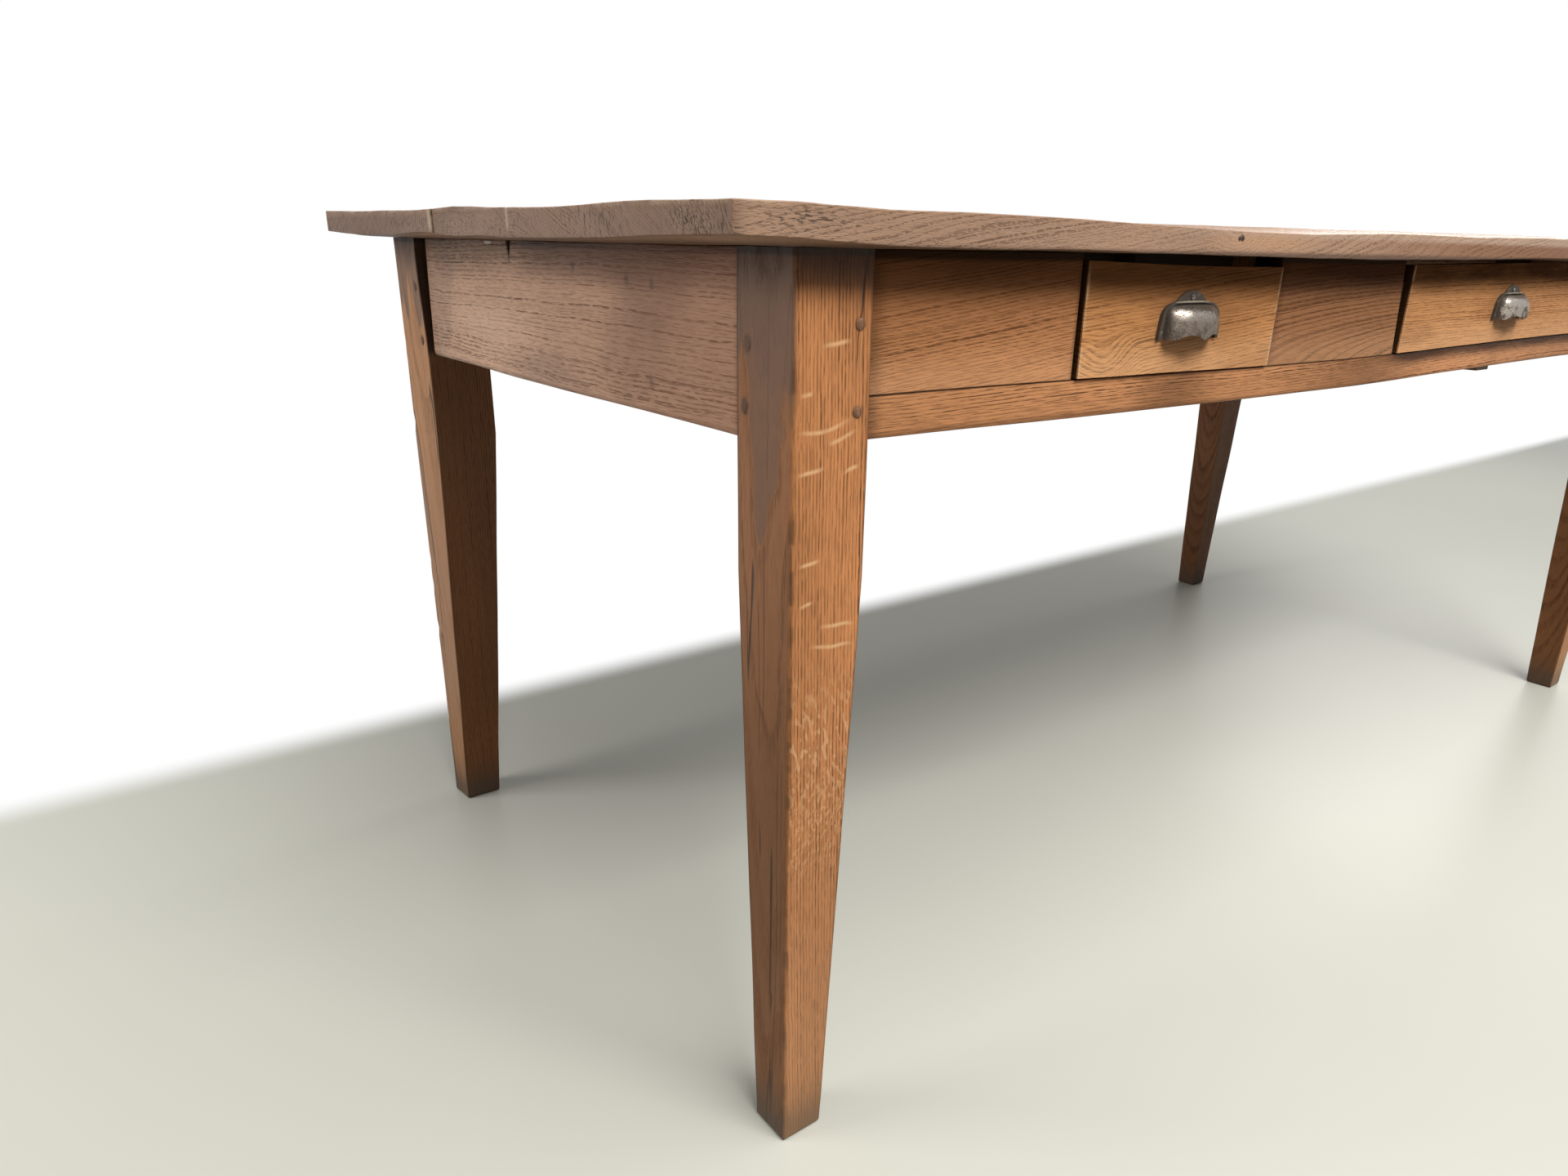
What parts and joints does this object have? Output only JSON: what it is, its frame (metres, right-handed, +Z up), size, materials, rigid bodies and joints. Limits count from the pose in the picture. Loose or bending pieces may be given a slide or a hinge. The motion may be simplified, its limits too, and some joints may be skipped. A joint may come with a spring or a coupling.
{
  "type": "farmhouse table",
  "caption": "Long oak farmhouse table: plank top, square legs tapered on the inside, pegged aprons, and front drawers with cast cup pulls.",
  "frame": {"origin": "on the floor, under the middle of the top", "axes": "+X along the length, to the right for someone facing the drawers; the drawer side faces -Y; +Z up"},
  "size_m": [1.91, 0.842, 0.755],
  "materials": {
    "oak_top": "waxed, worn",
    "oak_leg": "waxed, worn",
    "oak_apron": "waxed",
    "oak_front_board": "waxed",
    "oak_drawer_front": "waxed",
    "oak_inner": "bare",
    "oak_peg": "waxed end grain",
    "iron_pull": "aged, rubbed",
    "steel_fixing": "dull"
  },
  "bodies": {
    "table_frame": {"top_plank_front": "oak_top", "top_plank_middle": "oak_top", "top_plank_rear": "oak_top", "leg_front_left": "oak_leg", "pegs_front_left": "oak_peg", "leg_front_right": "oak_leg", "pegs_front_right": "oak_peg", "leg_rear_left": "oak_leg", "pegs_rear_left": "oak_peg", "leg_rear_right": "oak_leg", "pegs_rear_right": "oak_peg", "end_apron_left": "oak_apron", "end_apron_right": "oak_apron", "rear_apron": "oak_apron", "front_rail": "oak_front_board", "front_panel_left": "oak_front_board", "front_panel_middle": "oak_front_board", "front_panel_right": "oak_front_board", "panel_dowels": "oak_inner", "top_buttons": "oak_inner", "top_button_screws": "steel_fixing", "wide_drawer_runner_centre": "oak_inner", "guide_nails": "steel_fixing", "small_drawer_runner_left": "oak_inner", "small_drawer_guide_left": "oak_inner", "small_drawer_runner_right": "oak_inner", "small_drawer_guide_right": "oak_inner", "small_drawer_stops": "oak_inner", "wide_drawer_runner_left": "oak_inner", "wide_drawer_guide_left": "oak_inner", "wide_drawer_runner_right": "oak_inner", "wide_drawer_guide_right": "oak_inner", "wide_drawer_stops": "oak_inner"},
    "small_drawer": {"small_drawer_front": "oak_drawer_front", "small_drawer_side_left": "oak_inner", "small_drawer_side_right": "oak_inner", "small_drawer_back": "oak_inner", "small_drawer_bottom": "oak_inner", "small_drawer_bottom_nails": "steel_fixing", "small_drawer_pull": "iron_pull", "small_drawer_pull_screws": "steel_fixing"},
    "wide_drawer": {"wide_drawer_front": "oak_drawer_front", "wide_drawer_side_left": "oak_inner", "wide_drawer_side_right": "oak_inner", "wide_drawer_back": "oak_inner", "wide_drawer_bottom": "oak_inner", "wide_drawer_bottom_nails": "steel_fixing", "wide_drawer_pull": "iron_pull", "wide_drawer_pull_screws": "steel_fixing", "wide_drawer_bearing_strip": "oak_inner"}
  },
  "joints": [
    {"name": "small_drawer_slide", "type": "slide", "parent": "table_frame", "child": "small_drawer", "axis": [0, -1, 0], "range_m": [0, 0.38]},
    {"name": "wide_drawer_slide", "type": "slide", "parent": "table_frame", "child": "wide_drawer", "axis": [0, -1, 0], "range_m": [0, 0.38]}
  ]
}
